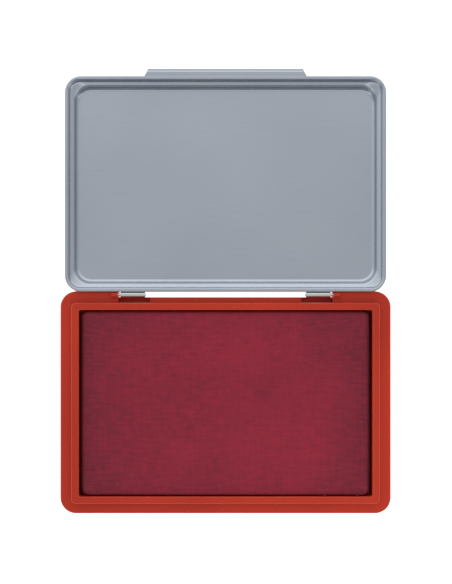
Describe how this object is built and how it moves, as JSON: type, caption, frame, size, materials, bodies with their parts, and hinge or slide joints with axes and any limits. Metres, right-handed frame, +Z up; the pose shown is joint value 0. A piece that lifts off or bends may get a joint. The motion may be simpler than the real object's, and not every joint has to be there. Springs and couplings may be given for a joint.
{
  "type": "ink pad",
  "caption": "Rubber-stamp ink pad: a cloth-covered inked pad in a moulded tray, under a hinged pressed-metal lid that lies open flat or closes over the pad.",
  "frame": {"origin": "the middle of the tray's flat underside", "axes": "+X along the hinge and the pad's long side, +Y from the front of the tray towards the hinge, +Z up out of the pad"},
  "size_m": [0.1248, 0.1676, 0.0108],
  "materials": {
    "red_plastic": "moulded, semi-gloss orange-red",
    "lid_metal": "satin tin-plated sheet, bluish grey",
    "bare_steel": "bare bright steel",
    "inked_cloth": "plain-weave cotton soaked with red ink",
    "inked_felt": "wool felt soaked with red ink",
    "grey_board": null
  },
  "bodies": {
    "tray": {"base_tray": "red_plastic", "pad_backing": "grey_board", "pad_felt": "inked_felt", "pad_cloth": "inked_cloth", "hinge_pin_left": "bare_steel", "hinge_pin_right": "bare_steel"},
    "lid": {"lid_shell": "lid_metal", "hinge_leaf_left": "bare_steel", "hinge_leaf_right": "bare_steel"}
  },
  "joints": [
    {"name": "lid_hinge", "type": "hinge", "parent": "tray", "child": "lid", "pos_m": [0, 0.04052, 0.00903], "axis": [1, 0, 0], "range_deg": [0, 180]}
  ]
}
